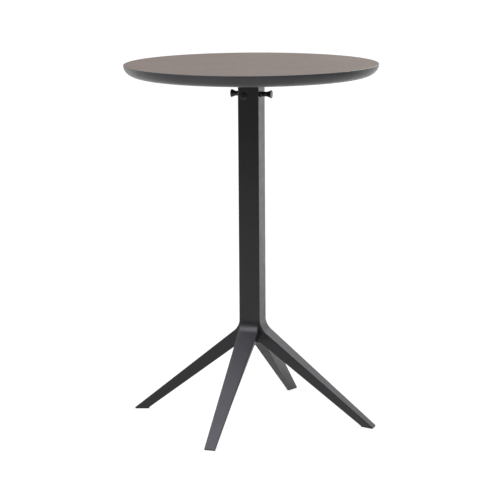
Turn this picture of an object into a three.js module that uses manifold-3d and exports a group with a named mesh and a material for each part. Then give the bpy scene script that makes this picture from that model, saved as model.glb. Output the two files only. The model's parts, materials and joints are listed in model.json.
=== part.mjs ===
// Round flip-top bistro table on a square column with four splayed legs.
// Millimetres, +Z up, origin on the floor under the column's axis, front is -Y.
import * as THREE from "three";
import { mergeVertices } from "three/addons/utils/BufferGeometryUtils.js";
import Module from "manifold-3d";

const wasm = await Module();
wasm.setup();

// ---- Driving dimensions ----
const HEIGHT = 1000;
const TOP_RADIUS = 350;
const TOP_THICKNESS = 33;
const SHEET_THICKNESS = 2;
const SHEET_GAP = 0.15; // between the surface sheet and the rim it is let into
const NOSE_REACH = 43; // how far the edge's quarter ellipse runs in under the top
const EDGE_ROUND = 1.8; // the rim's rounded upper edge, outside the surface sheet

const COLUMN_WIDTH = 60;
const COLUMN_WALL = 3;
const COLUMN_CORNER = 5;
const PLUG_CORNER = 3; // of the pieces that fit inside the column
const COLUMN_FOOT_Z = 290;
const COLUMN_HEAD_Z = 952;

const LEG_REACH = 359; // radius where the leg's upper face would meet the floor
const LEG_ROOT_Z = 267.4; // height where that face's plane meets the column's face
const LEG_HEEL = 320.4; // radius where the leg's underside would meet the floor
const LEG_BELLY_Z = 242.4; // height where the underside's plane meets the axis
const LEG_BEND_RADIUS = 45;
const LEG_LENGTH = 420; // from the root to the tip, along the upper face
const LEG_ROOT_HALF = 29.9; // half the upper face's width at the root
const LEG_TIP_HALF = 17.3;
const BELLY_ROOT_HALF = 18.3; // half the underside's width at the root
const BELLY_TIP_HALF = 3.2;
const LEG_GAP = 0.3; // between neighbouring legs
const CROTCH_Z = 220;
const CORNER_RUNOUT = 0.2;

const GLIDE_HEIGHT = 3;
const GLIDE_INSET = 1;
const GLIDE_SCREW_R = 335;

const TIE_ROD_RADIUS = 5;
const LEG_SCREW_R = 17;
const SPIGOT_HEIGHT = 40;
const CLEARANCE = 0.3;

const HEAD_FLOOR_Z = 888;
const HEAD_FLOOR = 8;
const HEAD_POCKET = 39; // width of the head block's pocket, cheek to cheek
const HEAD_WEB_Y = -20; // inner face of the head block's front web
const FLANGE = 4;

const PIVOT_Y = 18;
const PIVOT_Z = 934;
const PIN_RADIUS = 5;
const PIN_LENGTH = 53;
const CAM_RADIUS = 16;
const CAM_INNER_X = 13;
const CAM_THICKNESS = 5;
const CAM_SHOULDER_Y = -10; // front of the shoulder that stands over the latch rod
const CAM_SHOULDER_GAP = 0.8; // from the shoulder down to the rod
const BUSH_RADIUS = 7;
const BUSH_FLANGE = 1;

const PLATE_SIZE = 180;
const PLATE_THICKNESS = 4;
const PLATE_SCREW_XY = 72;

const LATCH_Y = 2;
const LATCH_Z = 917;
const LATCH_RADIUS = 6;
const SLOT_CLEARANCE = 0.5;
const SLOT_FRONT_Y = -22;
const KNOB_END_X = 59.3;
const KNOB_SHANK_RADIUS = 6.75;
const KNOB_RADIUS = 11.3;

const SPRING_WIRE = 0.65; // radius
const SPRING_RADIUS = 4.2; // to the middle of the wire
const SPRING_TURNS = 5.5;
const SPRING_SEAT_Y = -24.6;

const HEAD_BOLT_X = -11;
const HEAD_BOLT_Z = 912;
const HEAD_BOLT_RADIUS = 10;

const UNDERSIDE_Z = HEIGHT - TOP_THICKNESS;
const CORE_TOP_Z = HEIGHT - SHEET_THICKNESS;
const PLATE_Z = UNDERSIDE_Z - PLATE_THICKNESS;
const HALF = COLUMN_WIDTH / 2;
const BORE_HALF = HALF - COLUMN_WALL - CLEARANCE;
const POCKET_HALF = HEAD_POCKET / 2;
const UP = new THREE.Vector3(0, 0, 1);

// ---- How finely round things are divided ----
const SMALL_ROUND = 16;
const FIT_ROUND = 24;
const TOP_ROUND = 96;

// ---- Materials ----
function finish(color, roughness, metalness) {
  return new THREE.MeshStandardMaterial({ color, roughness, metalness });
}

const paint = () => finish(0x3b3a3d, 0.5, 0.25);
const steel = () => finish(0x9a9b9d, 0.35, 0.9);
const plastic = () => finish(0x151414, 0.25, 0);
const rubber = () => finish(0x1d1d1e, 0.85, 0);
const core = () => finish(0x434246, 0.55, 0);
const laminate = () => finish(0x968d86, 0.6, 0);
const brass = () => finish(0xb08d4e, 0.4, 0.9);

// ---- Solids and booleans ----
function solid(geometry) {
  const bare = geometry.clone();
  bare.deleteAttribute("normal");
  bare.deleteAttribute("uv");
  const merged = mergeVertices(bare, 1e-4);
  const corners = merged.index.array;
  const kept = [];
  for (let i = 0; i < corners.length; i += 3) {
    const [a, b, c] = corners.slice(i, i + 3);
    if (a !== b && b !== c && c !== a) {
      kept.push(a, b, c);
    }
  }
  return new wasm.Manifold(
    new wasm.Mesh({
      numProp: 3,
      vertProperties: new Float32Array(merged.attributes.position.array),
      triVerts: new Uint32Array(kept),
    }),
  );
}

function geometryOf(manifold) {
  const mesh = manifold.getMesh();
  const geometry = new THREE.BufferGeometry();
  geometry.setAttribute("position", new THREE.BufferAttribute(mesh.vertProperties, 3));
  geometry.setIndex(new THREE.BufferAttribute(mesh.triVerts, 1));
  geometry.computeVertexNormals();
  return geometry;
}

function cut(body, ...tools) {
  const rest = tools.reduce((left, tool) => left.subtract(solid(tool)), solid(body));
  return geometryOf(rest);
}

function join(...pieces) {
  const all = pieces.map(solid).reduce((sum, piece) => sum.add(piece));
  return geometryOf(all);
}

// ---- Shapes ----
function roundedSquare(width, radius) {
  const h = width / 2;
  const c = h - radius;
  const shape = new THREE.Shape();
  shape.moveTo(-c, -h);
  shape.lineTo(c, -h);
  shape.absarc(c, -c, radius, -Math.PI / 2, 0);
  shape.lineTo(h, c);
  shape.absarc(c, c, radius, 0, Math.PI / 2);
  shape.lineTo(-c, h);
  shape.absarc(-c, c, radius, Math.PI / 2, Math.PI);
  shape.lineTo(-h, -c);
  shape.absarc(-c, -c, radius, Math.PI, 1.5 * Math.PI);
  return shape;
}

function polygon(points) {
  return new THREE.Shape(points.map(([u, v]) => new THREE.Vector2(u, v)));
}

// A long round-ended hole from u0 to u1 at height v.
function stadium(u0, u1, v, radius) {
  const shape = new THREE.Shape();
  shape.moveTo(u0 + radius, v - radius);
  shape.lineTo(u1 - radius, v - radius);
  shape.absarc(u1 - radius, v, radius, -Math.PI / 2, Math.PI / 2);
  shape.lineTo(u0 + radius, v + radius);
  shape.absarc(u0 + radius, v, radius, Math.PI / 2, 1.5 * Math.PI);
  return shape;
}

// ---- Prisms and turned pieces along an axis ----
// The shape's (u, v) is (x, y) along Z, (y, z) along X and (x, z) along Y.
const ALONG = {
  x: new THREE.Matrix4().set(0, 0, 1, 0, 1, 0, 0, 0, 0, 1, 0, 0, 0, 0, 0, 1),
  y: new THREE.Matrix4().set(1, 0, 0, 0, 0, 0, -1, 0, 0, 1, 0, 0, 0, 0, 0, 1),
  z: new THREE.Matrix4(),
};

function prism(axis, shape, from, to, curveSegments = 6) {
  const depth = to - from;
  const geometry = new THREE.ExtrudeGeometry(shape, {
    depth,
    bevelEnabled: false,
    curveSegments,
  });
  geometry.translate(0, 0, axis === "y" ? -to : from);
  return geometry.applyMatrix4(ALONG[axis]);
}

function cylinder(axis, radius, from, to, [u, v], segments = SMALL_ROUND) {
  const geometry = new THREE.CylinderGeometry(radius, radius, to - from, segments);
  geometry.translate(0, (from + to) / 2, 0);
  return standOn(axis, geometry, [u, v]);
}

// Turns a geometry that stands on +Y so that it points along the axis, at (u, v).
function standOn(axis, geometry, [u, v]) {
  if (axis === "x") {
    geometry.rotateZ(-Math.PI / 2).translate(0, u, v);
  } else if (axis === "y") {
    geometry.translate(u, 0, v);
  } else {
    geometry.rotateX(Math.PI / 2).translate(u, v, 0);
  }
  return geometry;
}

// A profile of [radius, height] points that starts and ends on the axis, or closes.
function turned(axis, profile, place, segments = SMALL_ROUND) {
  const points = profile.map(([r, h]) => new THREE.Vector2(r, h));
  return standOn(axis, new THREE.LatheGeometry(points, segments), place);
}

function ring(axis, inner, outer, from, to, place, segments = SMALL_ROUND) {
  const profile = [
    [inner, from],
    [outer, from],
    [outer, to],
    [inner, to],
    [inner, from],
  ];
  return turned(axis, profile, place, segments);
}

function block(x0, x1, y0, y1, z0, z1) {
  const geometry = new THREE.BoxGeometry(x1 - x0, y1 - y0, z1 - z0);
  return geometry.translate((x0 + x1) / 2, (y0 + y1) / 2, (z0 + z1) / 2);
}

// Everything beyond the plane through a point, along the normal.
function beyond(normal, point) {
  const size = 1200;
  const depth = 300;
  const geometry = new THREE.BoxGeometry(size, size, depth);
  geometry.translate(0, 0, depth / 2);
  const turn = new THREE.Quaternion().setFromUnitVectors(UP, normal.clone().normalize());
  geometry.applyQuaternion(turn);
  return geometry.translate(point.x, point.y, point.z);
}

// ---- Scene ----
const table = new THREE.Group();
table.name = "bistro_table";

function put(parent, name, geometry, material, position = [0, 0, 0]) {
  const mesh = new THREE.Mesh(geometry, material);
  mesh.name = name;
  mesh.position.set(...position);
  parent.add(mesh);
  return mesh;
}

// ---- Fasteners, standing on +Z from the seat under the head at the origin ----
// The head lies below z = 0 and the shank rises from it.
function headedScrew(shankRadius, length, headRadius, headHeight, socketRadius) {
  const profile = [
    [0, -headHeight],
    [headRadius * 0.62, -headHeight],
    [headRadius, -headHeight * 0.35],
    [headRadius, 0],
    [shankRadius, 0],
    [shankRadius, length],
    [0, length],
  ];
  const body = turned("z", profile, [0, 0]);
  const deep = headHeight * 0.6;
  const socket = cylinder("z", socketRadius, -headHeight - 1, deep - headHeight, [0, 0], 6);
  return cut(body, socket);
}

function hexNut(acrossFlats, height, bore) {
  const corner = acrossFlats / Math.sqrt(3);
  const body = cylinder("z", corner, 0, height, [0, 0], 6);
  return cut(body, cylinder("z", bore, -1, height + 1, [0, 0]));
}

// A closed solid over rings of points, each ring convex and with the same count.
function loft(rings) {
  const count = rings[0].length;
  const positions = rings.flat().flatMap((point) => point.toArray());
  const faces = [];
  for (let i = 0; i + 1 < rings.length; i += 1) {
    for (let k = 0; k < count; k += 1) {
      const next = (k + 1) % count;
      const [a, b] = [i * count + k, i * count + next];
      faces.push(a, b + count, b, a, a + count, b + count);
    }
  }
  const last = (rings.length - 1) * count;
  for (let k = 1; k + 1 < count; k += 1) {
    faces.push(0, k, k + 1, last, last + k + 1, last + k);
  }
  const geometry = new THREE.BufferGeometry();
  geometry.setAttribute("position", new THREE.Float32BufferAttribute(positions, 3));
  geometry.setIndex(faces);
  return geometry;
}

// ---- Legs: built pointing along +X, one group a side ----
// A leg is an upside-down trapezoid in section, lofted from the column down to the floor.
const slope = Math.atan2(LEG_ROOT_Z, LEG_REACH - HALF);
const bellySlope = LEG_BELLY_Z / LEG_HEEL;
const turn = Math.PI / 2 - slope;
const bendStart = LEG_ROOT_Z + LEG_BEND_RADIUS * Math.tan(turn / 2);
const bendLength = LEG_BEND_RADIUS * Math.tan(turn / 2);
const root = new THREE.Vector2(HALF, LEG_ROOT_Z);
const bendCentre = new THREE.Vector2(HALF + LEG_BEND_RADIUS, bendStart);
const bellyCorner = new THREE.Vector2(LEG_HEEL - CROTCH_Z / bellySlope, CROTCH_Z);
const downLeg = new THREE.Vector2(Math.cos(slope), -Math.sin(slope));
const intoLeg = new THREE.Vector2(-Math.sin(slope), -Math.cos(slope));

function halfWidths(along) {
  const share = along / LEG_LENGTH;
  return [
    LEG_ROOT_HALF + (LEG_TIP_HALF - LEG_ROOT_HALF) * share,
    BELLY_ROOT_HALF + (BELLY_TIP_HALF - BELLY_ROOT_HALF) * share,
  ];
}

// One section between an outer and an inner point (r, z), with their half-widths.
function section(outer, inner, outerHalf, innerHalf) {
  return [
    new THREE.Vector3(outer.x, -outerHalf, outer.y),
    new THREE.Vector3(outer.x, outerHalf, outer.y),
    new THREE.Vector3(inner.x, innerHalf, inner.y),
    new THREE.Vector3(inner.x, -innerHalf, inner.y),
  ];
}

// The section at an angle round the bend: the sides lean in as the leg turns outwards.
function bendSection(angle) {
  const way = new THREE.Vector2(-Math.cos(angle), -Math.sin(angle));
  const toAxis = bendCentre.x / Math.cos(angle);
  const toCrotch = (bendStart - CROTCH_Z) / Math.max(Math.sin(angle), 1e-6);
  const outer = bendCentre.clone().addScaledVector(way, LEG_BEND_RADIUS);
  const inner = bendCentre.clone().addScaledVector(way, Math.min(toAxis, toCrotch));
  const [outerEnd, innerEnd] = halfWidths(bendLength);
  const share = angle / turn;
  const outerHalf = HALF + (outerEnd - HALF) * share ** 2;
  const innerHalf = HALF + (innerEnd - HALF) * share;
  return section(outer, inner, outerHalf, innerHalf);
}

function straightSection(along) {
  const outer = root.clone().addScaledVector(downLeg, along);
  const aboveBelly = outer.y - bellySlope * (LEG_HEEL - outer.x);
  const depth = aboveBelly / (Math.cos(slope) + bellySlope * Math.sin(slope));
  const inner = outer.clone().addScaledVector(intoLeg, depth);
  return section(outer, inner, ...halfWidths(along));
}

function legSections() {
  const sections = [
    section(
      new THREE.Vector2(HALF, COLUMN_FOOT_Z), new THREE.Vector2(0, COLUMN_FOOT_Z), HALF, HALF,
    ),
  ];
  const crotchAngle = Math.atan2(bendStart - CROTCH_Z, bendCentre.x);
  const bendSteps = 8;
  const angles = [crotchAngle];
  for (let i = 0; i <= bendSteps; i += 1) {
    angles.push((turn * i) / bendSteps);
  }
  angles.sort((a, b) => a - b);
  sections.push(...angles.map(bendSection));
  const first = bellyCorner.clone().sub(root).dot(downLeg);
  const straightSteps = 7;
  for (let i = 0; i <= straightSteps; i += 1) {
    sections.push(straightSection(first + ((LEG_LENGTH + 8 - first) * i) / straightSteps));
  }
  return sections;
}

// What rounds the square corner at (HALF, HALF) off to the column's own corner, down to
// where the leg's upper face has bent out by CORNER_RUNOUT.
function cornerTool(side) {
  const c = HALF - COLUMN_CORNER;
  const out = HALF + CORNER_RUNOUT;
  const bent = Math.sqrt(LEG_BEND_RADIUS ** 2 - (LEG_BEND_RADIUS - CORNER_RUNOUT) ** 2);
  const shape = new THREE.Shape();
  shape.moveTo(out, c);
  shape.lineTo(out, out);
  shape.lineTo(c, out);
  shape.lineTo(c, HALF);
  shape.absarc(c, c, COLUMN_CORNER, Math.PI / 2, 0, true);
  const tool = prism("z", shape, bendStart - bent, COLUMN_FOOT_Z + 1);
  return side > 0 ? tool : tool.rotateZ(-Math.PI / 2);
}

function leg() {
  const mitre = (side) => new THREE.Vector3(-1, side, 0);
  const mitrePoint = new THREE.Vector3(LEG_GAP / Math.SQRT2, 0, 0);
  const tools = [1, -1].flatMap((side) => [
    beyond(mitre(side), mitrePoint),
    cornerTool(side),
  ]);
  const floor = beyond(new THREE.Vector3(0, 0, -1), new THREE.Vector3(0, 0, GLIDE_HEIGHT));
  const rodHole = cylinder("z", TIE_ROD_RADIUS + 0.6, CROTCH_Z - 1, COLUMN_FOOT_Z + 1, [0, 0]);
  const screwHole = cylinder("z", 3.3, CROTCH_Z - 1, COLUMN_FOOT_Z + 1, [LEG_SCREW_R, 0]);
  const glideHole = cylinder("z", 2.1, GLIDE_HEIGHT - 1, 13.5, [GLIDE_SCREW_R, 0], 12);
  return cut(loft(legSections()), ...tools, floor, rodHole, screwHole, glideHole);
}

function glide() {
  const heel = LEG_HEEL - GLIDE_HEIGHT / bellySlope;
  const toe = LEG_REACH - GLIDE_HEIGHT / Math.tan(slope);
  const alongTo = (r) => new THREE.Vector2(r, GLIDE_HEIGHT).sub(root).dot(downLeg);
  const heelHalf = halfWidths(alongTo(heel))[1] - GLIDE_INSET;
  const toeHalf = halfWidths(alongTo(toe))[0] - GLIDE_INSET;
  const outline = polygon([
    [heel + GLIDE_INSET, -heelHalf],
    [toe - GLIDE_INSET, -toeHalf],
    [toe - GLIDE_INSET, toeHalf],
    [heel + GLIDE_INSET, heelHalf],
  ]);
  const pad = prism("z", outline, 0, GLIDE_HEIGHT);
  const hole = cylinder("z", 2.1, -1, GLIDE_HEIGHT + 1, [GLIDE_SCREW_R, 0], 12);
  const sink = turned(
    "z",
    [[0, -1], [4.3, -1], [4.3, 0.6], [2.1, 2.7], [0, 2.7]],
    [GLIDE_SCREW_R, 0],
    12,
  );
  return cut(pad, hole, sink);
}

function glideScrew() {
  const profile = [
    [0, 0.7], [4, 0.7], [1.95, 2.7], [1.95, 11.5], [0, 12.5],
  ];
  const socket = cylinder("z", 1.4, 0, 1.7, [0, 0], 6);
  return cut(turned("z", profile, [0, 0], 12), socket);
}

const SIDES = { right: 0, back: 1, left: 2, front: 3 };
for (const [side, quarter] of Object.entries(SIDES)) {
  const arm = new THREE.Group();
  arm.rotation.z = (quarter * Math.PI) / 2;
  table.add(arm);
  put(arm, `leg_${side}`, leg(), paint());
  put(arm, `glide_${side}`, glide(), plastic());
  put(arm, `glide_screw_${side}`, glideScrew(), steel(), [GLIDE_SCREW_R, 0, 0]);
  put(arm, `leg_screw_${side}`, headedScrew(3, 90, 4.8, 4, 2.4), steel(), [
    LEG_SCREW_R, 0, CROTCH_Z,
  ]);
}

// ---- Column, spigot and tie rod ----
const spigotTop = COLUMN_FOOT_Z + SPIGOT_HEIGHT;
const spigotHoles = Object.values(SIDES).map((quarter) => {
  const angle = (quarter * Math.PI) / 2;
  const place = [LEG_SCREW_R * Math.cos(angle), LEG_SCREW_R * Math.sin(angle)];
  return cylinder("z", 3.1, COLUMN_FOOT_Z - 1, COLUMN_FOOT_Z + 24, place);
});
const spigot = cut(
  prism("z", roundedSquare(2 * BORE_HALF, PLUG_CORNER), COLUMN_FOOT_Z, spigotTop, 3),
  cylinder("z", TIE_ROD_RADIUS + 0.4, COLUMN_FOOT_Z - 1, spigotTop + 1, [0, 0]),
  ...spigotHoles,
);
put(table, "spigot", spigot, steel());

const slotHalf = LATCH_RADIUS + SLOT_CLEARANCE;
const slotBack = LATCH_Y + slotHalf;
const latchSlot = stadium(SLOT_FRONT_Y, slotBack, LATCH_Z, slotHalf);
const notchFloor = PIVOT_Z - CAM_RADIUS - 5;

function columnTube() {
  const wall = roundedSquare(COLUMN_WIDTH, COLUMN_CORNER);
  wall.holes.push(roundedSquare(COLUMN_WIDTH - 2 * COLUMN_WALL, COLUMN_CORNER - COLUMN_WALL));
  const tube = prism("z", wall, COLUMN_FOOT_Z, COLUMN_HEAD_Z, 5);
  const slots = prism("x", latchSlot, -HALF - 1, HALF + 1, 6);
  const notch = block(
    -POCKET_HALF, POCKET_HALF, HALF - COLUMN_WALL - 1, HALF + 1,
    notchFloor, COLUMN_HEAD_Z + 1,
  );
  const boltHole = cylinder("y", 4.3, -HALF - 1, -HALF + COLUMN_WALL + 1, [
    HEAD_BOLT_X, HEAD_BOLT_Z,
  ]);
  return cut(tube, slots, notch, boltHole);
}
put(table, "column_tube", columnTube(), paint());

const rodFoot = CROTCH_Z - 13;
const rodHead = HEAD_FLOOR_Z + HEAD_FLOOR + 12;
const rodProfile = [
  [0, rodFoot], [TIE_ROD_RADIUS - 1, rodFoot], [TIE_ROD_RADIUS, rodFoot + 1],
  [TIE_ROD_RADIUS, rodHead - 1], [TIE_ROD_RADIUS - 1, rodHead], [0, rodHead],
];
put(table, "tie_rod", turned("z", rodProfile, [0, 0]), steel());

const washer = () => ring("z", TIE_ROD_RADIUS + 0.25, 11, 0, 2, [0, 0]);
const nut = () => hexNut(17, 8, TIE_ROD_RADIUS + 0.1);
const headFloorTop = HEAD_FLOOR_Z + HEAD_FLOOR;
put(table, "tie_washer_lower", washer(), steel(), [0, 0, CROTCH_Z - 2]);
put(table, "tie_nut_lower", nut(), steel(), [0, 0, CROTCH_Z - 10]);
put(table, "tie_washer_upper", washer(), steel(), [0, 0, headFloorTop]);
put(table, "tie_nut_upper", nut(), steel(), [0, 0, headFloorTop + 2]);

// ---- Head block: carries the pivot pin, the latch rod and its spring ----
const flangeTop = COLUMN_HEAD_Z + FLANGE;
const padX = 24;
const padStem = 1.9;
const padY = -24;

function headBlock() {
  const plug = prism(
    "z", roundedSquare(2 * BORE_HALF, PLUG_CORNER), HEAD_FLOOR_Z, COLUMN_HEAD_Z + 1, 3,
  );
  const flange = prism(
    "z", roundedSquare(COLUMN_WIDTH, COLUMN_CORNER), COLUMN_HEAD_Z, flangeTop, 5,
  );
  const pocket = block(
    -POCKET_HALF, POCKET_HALF, HEAD_WEB_Y, HALF + 1, headFloorTop, flangeTop + 1,
  );
  const pads = [-1, 1].map((side) =>
    cylinder("z", padStem + 0.1, COLUMN_HEAD_Z - 4, flangeTop + 1, [side * padX, padY], 12),
  );
  return cut(
    join(plug, flange),
    pocket,
    prism("x", latchSlot, -HALF, HALF, 6),
    cylinder("x", PIN_RADIUS + 0.1, -HALF, HALF, [PIVOT_Y, PIVOT_Z], FIT_ROUND),
    cylinder("z", TIE_ROD_RADIUS + 0.4, HEAD_FLOOR_Z - 1, headFloorTop + 1, [0, 0]),
    cylinder("y", SPRING_RADIUS + 1.4, SPRING_SEAT_Y, HEAD_WEB_Y + 1, [0, LATCH_Z]),
    cylinder("y", 4.1, -HALF, HEAD_WEB_Y + 1, [HEAD_BOLT_X, HEAD_BOLT_Z]),
    ...pads,
  );
}
put(table, "head_block", headBlock(), finish(0x8c8d8f, 0.5, 0.8));

const boltLength = HALF + HEAD_WEB_Y - 0.6;
const headBolt = headedScrew(4, boltLength, HEAD_BOLT_RADIUS, 3, 2.2).rotateX(-Math.PI / 2);
put(table, "head_bolt", headBolt, paint(), [HEAD_BOLT_X, -HALF, HEAD_BOLT_Z]);

const padProfile = [
  [0, COLUMN_HEAD_Z - 3.5], [padStem, COLUMN_HEAD_Z - 3.5], [padStem, flangeTop],
  [4.6, flangeTop], [4.6, PLATE_Z - 1.6], [3.4, PLATE_Z - 0.2], [0, PLATE_Z - 0.1],
];
for (const [side, x] of [["left", -padX], ["right", padX]]) {
  put(table, `stop_pad_${side}`, turned("z", padProfile, [0, 0], 12), rubber(), [x, padY, 0]);
}

const pinHalf = PIN_LENGTH / 2;
const pinProfile = [
  [0, -pinHalf], [PIN_RADIUS - 0.8, -pinHalf], [PIN_RADIUS, 0.8 - pinHalf],
  [PIN_RADIUS, pinHalf - 0.8], [PIN_RADIUS - 0.8, pinHalf], [0, pinHalf],
];
put(table, "pivot_pin", turned("x", pinProfile, [PIVOT_Y, PIVOT_Z], FIT_ROUND), steel());

// ---- Latch: rod with a knob at each end, pushed back by a spring ----
const latch = new THREE.Group();
latch.position.set(0, LATCH_Y, LATCH_Z);
table.add(latch);

const knobInnerX = HALF + 0.5;
const studRadius = 4;
const studEnd = KNOB_END_X - 9;
const rodHalfProfile = [
  [LATCH_RADIUS, HALF], [studRadius, HALF], [studRadius, studEnd - 1],
  [studRadius - 1, studEnd], [0, studEnd],
];
const latchProfile = [
  ...rodHalfProfile.map(([r, h]) => [r, -h]).reverse(),
  ...rodHalfProfile,
];
put(latch, "latch_rod", turned("x", latchProfile, [0, 0], FIT_ROUND), steel());

// Shank, then a trumpet flare with a slightly domed end.
function knobProfile() {
  const flareStart = KNOB_END_X - 14.5;
  const rimStart = KNOB_END_X - 2.4;
  const points = [[studRadius + 0.15, knobInnerX], [KNOB_SHANK_RADIUS, knobInnerX]];
  const steps = 5;
  for (let i = 0; i <= steps; i += 1) {
    const t = i / steps;
    const swell = (KNOB_RADIUS - KNOB_SHANK_RADIUS) * t ** 1.35;
    points.push([KNOB_SHANK_RADIUS + swell, flareStart + t * (rimStart - flareStart)]);
  }
  points.push([KNOB_RADIUS, KNOB_END_X - 1.4]);
  points.push([KNOB_RADIUS - 1.4, KNOB_END_X - 0.6]);
  points.push([0, KNOB_END_X]);
  points.push([0, studEnd + 0.3]);
  points.push([studRadius + 0.15, studEnd + 0.3]);
  points.push([studRadius + 0.15, knobInnerX]);
  return points;
}
put(latch, "knob_right", turned("x", knobProfile(), [0, 0], FIT_ROUND), plastic());
const leftKnob = turned("x", knobProfile(), [0, 0], FIT_ROUND).rotateZ(Math.PI);
put(latch, "knob_left", leftKnob, plastic());

class Helix extends THREE.Curve {
  constructor(radius, turns, length) {
    super();
    Object.assign(this, { radius, turns, length });
  }

  getPoint(t, target = new THREE.Vector3()) {
    const angle = t * this.turns * 2 * Math.PI;
    const { radius } = this;
    return target.set(radius * Math.cos(angle), t * this.length, radius * Math.sin(angle));
  }
}

const springEnd = LATCH_Y - LATCH_RADIUS - 0.1;
const springFrom = SPRING_SEAT_Y + SPRING_WIRE + 0.1;
const springLength = springEnd - SPRING_WIRE - springFrom;
const wire = new THREE.Shape();
wire.absarc(0, 0, SPRING_WIRE, 0, 2 * Math.PI);
const coil = new THREE.ExtrudeGeometry(wire, {
  steps: Math.round(SPRING_TURNS * 12),
  curveSegments: 3,
  bevelEnabled: false,
  extrudePath: new Helix(SPRING_RADIUS, SPRING_TURNS, springLength),
});
put(table, "latch_spring", coil, steel(), [0, springFrom, LATCH_Z]);

// ---- Top: surface sheet let into a shaped core ----
function coreProfile() {
  const noseTop = HEIGHT - EDGE_ROUND;
  const flat = TOP_RADIUS - NOSE_REACH;
  const rimInner = TOP_RADIUS - EDGE_ROUND;
  const points = [[0, UNDERSIDE_Z]];
  const noseSteps = 7;
  for (let i = 0; i <= noseSteps; i += 1) {
    const angle = (i / noseSteps) * (Math.PI / 2);
    points.push([
      flat + NOSE_REACH * Math.sin(angle),
      noseTop - (noseTop - UNDERSIDE_Z) * Math.cos(angle),
    ]);
  }
  const roundSteps = 3;
  for (let i = 1; i <= roundSteps; i += 1) {
    const angle = (i / roundSteps) * (Math.PI / 2);
    points.push([
      rimInner + EDGE_ROUND * Math.cos(angle),
      noseTop + EDGE_ROUND * Math.sin(angle),
    ]);
  }
  points.push([rimInner, CORE_TOP_Z], [0, CORE_TOP_Z]);
  return points;
}

const insertDepth = 14;
const screwPlaces = [[1, 1], [-1, 1], [-1, -1], [1, -1]].map(([x, y]) => [
  x * PLATE_SCREW_XY, y * PLATE_SCREW_XY,
]);
const insertHoles = screwPlaces.map((place) =>
  cylinder("z", 6, UNDERSIDE_Z - 1, UNDERSIDE_Z + insertDepth + 1, place),
);
const topCore = cut(turned("z", coreProfile(), [0, 0], TOP_ROUND), ...insertHoles);
put(table, "top_core", topCore, core());

const sheetRadius = TOP_RADIUS - EDGE_ROUND - SHEET_GAP;
const sheet = cylinder("z", sheetRadius, CORE_TOP_Z, HEIGHT, [0, 0], TOP_ROUND);
put(table, "top_sheet", sheet, laminate());

// ---- Tilt bracket: plate with two cheeks that turn on the pivot pin ----
// Each cheek is round below the pin, so that it clears the latch rod at every tilt.
const camOuterX = CAM_INNER_X + CAM_THICKNESS;

function cheekShape() {
  const rear = PIVOT_Y + CAM_RADIUS;
  const shoulderZ = LATCH_Z + LATCH_RADIUS + CAM_SHOULDER_GAP;
  const start = Math.PI + Math.asin((PIVOT_Z - shoulderZ) / CAM_RADIUS);
  const shape = new THREE.Shape();
  shape.moveTo(HEAD_WEB_Y, PLATE_Z + 1);
  shape.lineTo(HEAD_WEB_Y, PLATE_Z);
  shape.lineTo(CAM_SHOULDER_Y, PIVOT_Z);
  shape.lineTo(CAM_SHOULDER_Y, shoulderZ);
  shape.lineTo(PIVOT_Y + CAM_RADIUS * Math.cos(start), shoulderZ);
  shape.absarc(PIVOT_Y, PIVOT_Z, CAM_RADIUS, start, 2 * Math.PI);
  shape.lineTo(rear, PLATE_Z + 1);
  return shape;
}

function tiltBracket() {
  const plate = prism("z", roundedSquare(PLATE_SIZE, 14), PLATE_Z, UNDERSIDE_Z, 4);
  const cheeks = [-camOuterX, CAM_INNER_X].map((x) =>
    prism("x", cheekShape(), x, x + CAM_THICKNESS, 10),
  );
  const bore = cylinder("x", BUSH_RADIUS + 0.1, -HALF, HALF, [PIVOT_Y, PIVOT_Z], FIT_ROUND);
  const holes = screwPlaces.map((place) =>
    cylinder("z", 3.4, PLATE_Z - 1, UNDERSIDE_Z + 1, place),
  );
  return cut(join(plate, ...cheeks), bore, ...holes);
}
put(table, "tilt_bracket", tiltBracket(), finish(0x2b2b2d, 0.55, 0.4));

const bushProfile = [
  [PIN_RADIUS + 0.06, CAM_INNER_X], [BUSH_RADIUS, CAM_INNER_X], [BUSH_RADIUS, camOuterX],
  [BUSH_RADIUS + 2, camOuterX], [BUSH_RADIUS + 2, camOuterX + BUSH_FLANGE],
  [PIN_RADIUS + 0.06, camOuterX + BUSH_FLANGE], [PIN_RADIUS + 0.06, CAM_INNER_X],
];
for (const [side, facing] of [["right", 0], ["left", Math.PI]]) {
  const bush = turned("x", bushProfile, [0, 0], FIT_ROUND).rotateZ(facing);
  put(table, `pivot_bush_${side}`, bush, plastic(), [0, PIVOT_Y, PIVOT_Z]);
}

const insertProfile = [
  [3.2, 0], [5.8, 0], [5.8, insertDepth], [3.2, insertDepth], [3.2, 0],
];
screwPlaces.forEach(([x, y], i) => {
  const end = y > 0 ? "back" : "front";
  const hand = x > 0 ? "right" : "left";
  const insert = turned("z", insertProfile, [0, 0]);
  const screw = headedScrew(3, 16, 5.6, 3.2, 2.3);
  put(table, `insert_${end}_${hand}`, insert, brass(), [x, y, UNDERSIDE_Z]);
  put(table, `bracket_screw_${end}_${hand}`, screw, steel(), [x, y, PLATE_Z]);
});

export default table;
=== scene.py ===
import json
import math

import bmesh
import bpy
from mathutils import Matrix, Vector

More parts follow.
